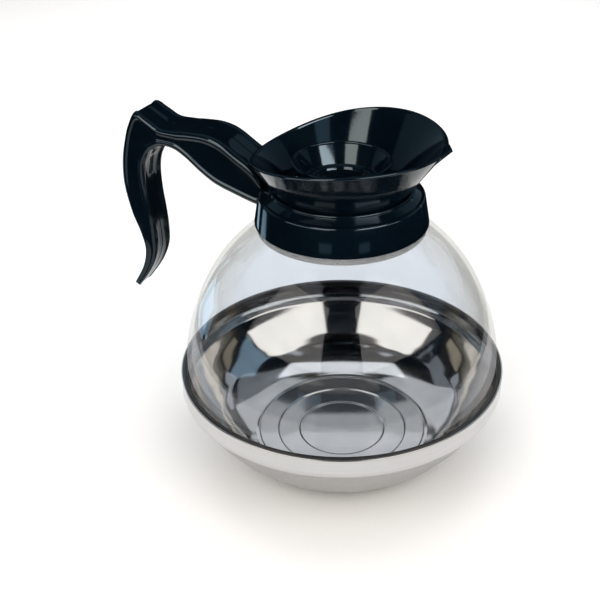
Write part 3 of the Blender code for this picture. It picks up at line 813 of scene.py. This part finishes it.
def collar_rows():
    """Outline of the collar: sloping skirt, shoulder with its bead, and the ledge under the bowl's bead."""
    inner_low = COLLAR_RADIUS_LOW - COLLAR_WALL
    inner_high = COLLAR_RADIUS_HIGH - COLLAR_WALL
    ledge_bottom = LEDGE_TOP - LEDGE_THICKNESS
    ledge_inner = NECK_RADIUS + 0.6
    rows = [(COLLAR_RADIUS_LOW, COLLAR_BOTTOM), (COLLAR_RADIUS_HIGH + 0.1, COLLAR_TOP, 1.5)]
    rows += [(COLLAR_RADIUS_HIGH - 1.8, COLLAR_TOP + 0.1, 0.5), (SHOULDER_BEAD, SHOULDER_TOP - 0.7)]
    rows += [(SHOULDER_BEAD - 0.2, SHOULDER_TOP + 0.5, 1.0), (SHOULDER_RADIUS, SHOULDER_TOP + 0.5, 0.4)]
    rows += [(SHOULDER_RADIUS, SHOULDER_TOP - 1.9, 0.2), (inner_high, COLLAR_TOP - 1.0)]
    rows += [(inner_high + 0.5, LEDGE_TOP), (ledge_inner, LEDGE_TOP), (ledge_inner, ledge_bottom)]
    rows += [(inner_low - 0.8, ledge_bottom), (inner_low, COLLAR_BOTTOM)]
    return rounded(rows, 0.3, 3)


def peg(radius, start, end, place, finish):
    """A round cutter along Y from one y to another, at a place (x, z)."""
    bm = bmesh.new()
    size = {"radius1": radius, "radius2": radius, "depth": end - start}
    bmesh.ops.create_cone(bm, cap_ends=True, segments=48, **size)
    bmesh.ops.rotate(bm, verts=bm.verts, matrix=Matrix.Rotation(math.pi / 2, 3, "X"))
    bmesh.ops.translate(bm, verts=bm.verts, vec=(place[0], (start + end) / 2, place[1]))
    return make_piece("peg", bm, finish)


def seam_grooves(finish):
    """Slim square bars set on edge, which chamfer the collar's seam on the pouring side."""
    corners = [(COLLAR_RADIUS_LOW, COLLAR_BOTTOM - 1.0), (COLLAR_RADIUS_HIGH, COLLAR_TOP)]
    corners += [(SHOULDER_RADIUS, SHOULDER_TOP)]
    bars = []
    for start, end in zip(corners, corners[1:]):
        along = Vector((end[0] - start[0], 0, end[1] - start[1]))
        bm = bmesh.new()
        bmesh.ops.create_cube(bm, size=1.0)
        bmesh.ops.scale(bm, vec=(along.length + 0.6, SEAM_GROOVE, SEAM_GROOVE), verts=bm.verts)
        bmesh.ops.rotate(bm, verts=bm.verts, matrix=Matrix.Rotation(math.pi / 4, 3, "X"))
        bmesh.ops.rotate(bm, verts=bm.verts, matrix=Matrix.Rotation(-math.atan2(along.z, along.x), 3, "Y"))
        middle = ((start[0] + end[0]) / 2, SEAM, (start[1] + end[1]) / 2)
        bmesh.ops.translate(bm, verts=bm.verts, vec=middle)
        bars.append(make_piece("groove", bm, finish))
    return bars


def screw_box(label):
    """A CAD screw's axis (x, z), its head's radius, and the y of its tip and of its head's top."""
    low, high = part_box(f"{label}_screw")
    place = ((low.x + high.x) / 2 / MM, (low.z + high.z) / 2 / MM)
    return place, (high.x - low.x) / 2 / MM, low.y / MM, high.y / MM


def handle_half(name, side, finish):
    """One moulded half of the collar and handle, built on the +Y side and mirrored for the -Y side.

    The screws go in from the +Y side, so only that half has their holes.
    """
    half = make_piece(name, handle_sweep(), finish)
    collar = make_piece("collar", turned(collar_rows()), finish)
    boolean(half, "UNION", collar)
    if side > 0:
        for label in SCREW_LABELS:
            place, head_radius, _, top = screw_box(label)
            floor = top - SCREW_RECESS
            hole = peg(head_radius + SCREW_CLEARANCE, floor, floor + 20.0, place, finish)
            boolean(half, "DIFFERENCE", hole)
    boolean(half, "DIFFERENCE", *seam_grooves(finish))
    bm = bmesh.new()
    size = 400.0              # well past the object on every side
    bmesh.ops.create_cube(bm, size=size)
    bmesh.ops.translate(bm, verts=bm.verts, vec=(0, SEAM - size / 2, size / 4))
    boolean(half, "DIFFERENCE", make_piece("beyond_seam", bm, finish))
    half.data.transform(Matrix.Translation((0, (SEAM_GAP / 2 - SEAM) * MM, 0)))
    if side < 0:
        half.data.transform(Matrix.Scale(-1, 4, (0, 1, 0)))
        half.data.flip_normals()
    return half


def screw(label, finish):
    """A domed self-tapping screw with a cross recess and a threaded shank."""
    (x, z), head_radius, tip, top = screw_box(label)
    length = top - tip
    under = length - SCREW_HEAD
    rows = [(0, 0), (0.35, 0.2)]
    threads = int((under - 1.8) / THREAD_PITCH)
    for i in range(threads):
        height = 1.2 + i * THREAD_PITCH
        rows += [(THREAD_ROOT, height), (THREAD_CREST, height + 0.35), (THREAD_ROOT, height + 0.7)]
    rows += [(0.95, under - 0.1), (1.0, under), (head_radius - 0.15, under), (head_radius, under + 0.2)]
    rows += [(head_radius, under + 0.8), (head_radius - 0.5, under + 1.4)]
    rows += [(head_radius - 1.4, length), (0, length)]
    body = make_piece(f"{label}_screw_fine", turned(rows, 48), finish)
    blades = []
    for turn in (0.0, math.pi / 2):
        bm = bmesh.new()
        bmesh.ops.create_cube(bm, size=1.0)
        bmesh.ops.scale(bm, vec=CROSS_BLADE, verts=bm.verts)
        for vert in bm.verts:
            if vert.co.z < 0:
                vert.co.x *= 0.35
        bmesh.ops.rotate(bm, verts=bm.verts, matrix=Matrix.Rotation(turn + 0.4, 3, "Z"))
        bmesh.ops.translate(bm, verts=bm.verts, vec=(0, 0, length))
        blades.append(make_piece("blade", bm, finish))
    boolean(body, "DIFFERENCE", *blades)
    upright = Matrix.Rotation(-math.pi / 2, 4, "X")
    body.data.transform(Matrix.Translation((x * MM, tip * MM, z * MM)) @ upright)
    return body


# ---------------------------------------------------------------- stage

def floor_material():
    made, tree, shader = new_material("stage_paper")
    grain = noise(tree, place_on_object(tree), 900.0, 3.0)
    tree.links.new(ramp(tree, grain, (0.93, 0.93, 0.93), (0.95, 0.95, 0.95)), shader.inputs["Base Color"])
    shader.inputs["Roughness"].default_value = 0.9
    shader.inputs["Specular IOR Level"].default_value = 0.0
    return made


def circle(bm, radius):
    turns = [math.tau * i / FLOOR_SEGMENTS for i in range(FLOOR_SEGMENTS)]
    return [bm.verts.new((radius * math.cos(turn), radius * math.sin(turn), 0)) for turn in turns]


def stage_floor():
    """A pale floor: a disc under the object, and the wide rest of it, which glossy faces don't see."""
    paper = floor_material()
    bm = bmesh.new()
    bm.faces.new(circle(bm, FLOOR_NEAR))
    near = stage_object("floor_near", bm, paper)
    bm = bmesh.new()
    inner = circle(bm, FLOOR_NEAR)
    outer = circle(bm, FLOOR_FAR)
    for i in range(FLOOR_SEGMENTS):
        j = (i + 1) % FLOOR_SEGMENTS
        bm.faces.new((inner[i], outer[i], outer[j], inner[j]))
    far = stage_object("floor_far", bm, paper)
    far.visible_glossy = False
    return [near, far]


def stage_object(name, bm, finish):
    """Turn a bmesh written in metres into a flat-shaded object just under the origin."""
    mesh = bpy.data.meshes.new(name)
    bm.to_mesh(mesh)
    bm.free()
    mesh.materials.append(finish)
    made = bpy.data.objects.new(name, mesh)
    made.location.z = -FLOOR_DROP
    bpy.context.scene.collection.objects.link(made)
    return made


def softbox(name, azimuth, level_from, level_to, distance, width, brightness, colour):
    """An upright area light between two elevations, facing the object's axis.

    Azimuth 0 is towards the camera and positive to its right; width is an angle too.
    """
    heading = math.radians(CAMERA_TURN[2] + azimuth)
    outward = Vector((math.sin(heading), -math.cos(heading), 0))
    low = distance * math.tan(math.radians(level_from))
    high = distance * math.tan(math.radians(level_to))
    across = 2 * distance * math.tan(math.radians(width / 2))
    at = outward * distance + Vector((0, 0, AIM_HEIGHT + (low + high) / 2))
    return lamp(name, at, outward, (across, high - low), brightness, colour)


def softbox_between(name, azimuth, distance, low, high, width, brightness, colour):
    """An upright card like a softbox, given by its two heights."""
    levels = [math.degrees(math.atan2(height - AIM_HEIGHT, distance)) for height in (low, high)]
    return softbox(name, azimuth, *levels, distance, width, brightness, colour)


def overhead(name, offset, height, size, brightness, colour, glossy=True):
    """A level area light above the object, offset away from the camera."""
    heading = math.radians(CAMERA_TURN[2])
    at = Vector((-math.sin(heading) * offset, math.cos(heading) * offset, height))
    made = lamp(name, at, Vector((0, 0, 1)), size, brightness, colour, glossy)
    made.rotation_euler.z = heading
    return made


def lamp(name, at, outward, size, brightness, colour, glossy=True):
    """An area light that shows with a given brightness and isn't seen by the camera itself."""
    data = bpy.data.lights.new(name, "AREA")
    data.shape = "RECTANGLE"
    data.size, data.size_y = size
    data.color = colour
    data.energy = brightness * math.pi * size[0] * size[1]
    made = bpy.data.objects.new(name, data)
    made.location = at
    made.rotation_euler = outward.to_track_quat("Z", "Y").to_euler()
    made.visible_camera = False
    made.visible_glossy = glossy
    bpy.context.scene.collection.objects.link(made)
    return made


def studio(groups):
    """Lights; a linked one falls on the black pieces only, or on all of the others."""
    for name, azimuth, level_from, level_to, width, brightness, colour, onto in SOFTBOXES:
        made = softbox(name, azimuth, level_from, level_to, SOFTBOX_DISTANCE, width, brightness, colour)
        made.light_linking.receiver_collection = groups[onto]
    for name, azimuth, distance, top, width, brightness in CARDS:
        softbox_between(name, azimuth, distance, CARD_BOTTOM, top, width, brightness, BLUE)
    top_box = overhead("top_box", 0.32, 1.2, (1.0, 0.36), 1.7, WHITE)
    top_box.light_linking.receiver_collection = groups["bright"]
    top_glow = overhead("top_glow", 0.2, 1.2, (1.6, 0.9), 0.42, BLUE)
    top_glow.light_linking.receiver_collection = groups["black"]
    overhead("ceiling", 0.0, 5.0, (14.0, 14.0), 0.72, WHITE, glossy=False)


def surroundings():
    """White where the camera looks past the object, and a faint blue glow for every other ray."""
    world = bpy.data.worlds.new("studio")
    bpy.context.scene.world = world
    world.use_nodes = True
    tree = world.node_tree
    shown = node(tree, "ShaderNodeBackground", Color=(1.0, 1.0, 1.0, 1.0), Strength=1.0)
    unseen = node(tree, "ShaderNodeBackground", Color=(0.45, 0.72, 1.0, 1.0), Strength=0.014)
    path = node(tree, "ShaderNodeLightPath")
    mixed = node(tree, "ShaderNodeMixShader")
    tree.links.new(path.outputs["Is Camera Ray"], mixed.inputs["Fac"])
    tree.links.new(unseen.outputs["Background"], mixed.inputs[1])
    tree.links.new(shown.outputs["Background"], mixed.inputs[2])
    tree.links.new(mixed.outputs["Shader"], tree.nodes["World Output"].inputs["Surface"])


def camera():
    data = bpy.data.cameras.new("camera")
    data.lens = CAMERA_LENS
    data.sensor_width = 36.0
    data.shift_x = CAMERA_SHIFT
    data.clip_start = 0.01
    made = bpy.data.objects.new("camera", data)
    made.location = [value * MM for value in CAMERA_AT]
    made.rotation_euler = [math.radians(value) for value in CAMERA_TURN]
    bpy.context.scene.collection.objects.link(made)
    bpy.context.scene.camera = made
    bpy.context.scene.view_settings.view_transform = "Standard"


def main():
    camera()
    floor = stage_floor()
    polished = polished_steel()
    band = satin_steel("steel_band", (0.52, 0.52, 0.525), (0.62, 0.62, 0.62), 0.13, 0.19)
    # The dish is the band's steel with a darker base colour: painted shade where the wall faces down towards
    # the floor.
    dish = satin_steel("steel_dish_painted_shade", (0.37, 0.37, 0.375), (0.47, 0.47, 0.47), 0.24, 0.32)
    clear = clear_plastic()
    black = black_plastic()
    rubber = black_rubber()
    silicone = clear_silicone()
    zinc = screw_steel()
    pieces = [
        (steel_pan(polished, band, dish), "decanter", "base_pan", "stainless"),
        (lip_gasket(rubber), "decanter", "base_gasket", "black_rubber"),
        (clear_bowl(clear), "decanter", "upper_bowl", "clear_bowl"),
        (neck_ring(silicone), "decanter", "neck_seal", "clear_silicone"),
        (pouring_funnel(black), "decanter", "pour_funnel", "black_moulding"),
        (handle_half("handle_half_near", -1, black), "decanter", "handle_shell_near", "black_moulding"),
        (handle_half("handle_half_far", 1, black), "decanter", "handle_shell_far", "black_moulding"),
        (drip_cup(black), "cup", "brew_cup", "black_moulding"),
    ]
    for label in SCREW_LABELS:
        pieces.append((screw(label, zinc), "decanter", f"{label}_screw", "screw_steel"))
    for piece, body, stands_for, slot in pieces:
        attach(piece, body)
        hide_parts(stands_for)
    groups = {name: bpy.data.collections.new(f"lit_{name}") for name in ("black", "bright")}
    for piece, _, _, slot in pieces:
        groups["black" if slot == "black_moulding" else "bright"].objects.link(piece)
    for piece in floor:
        groups["bright"].objects.link(piece)
    studio(groups)
    surroundings()
    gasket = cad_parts["mouth_gasket"]
    for slot in gasket.material_slots:
        slot.material = rubber


main()
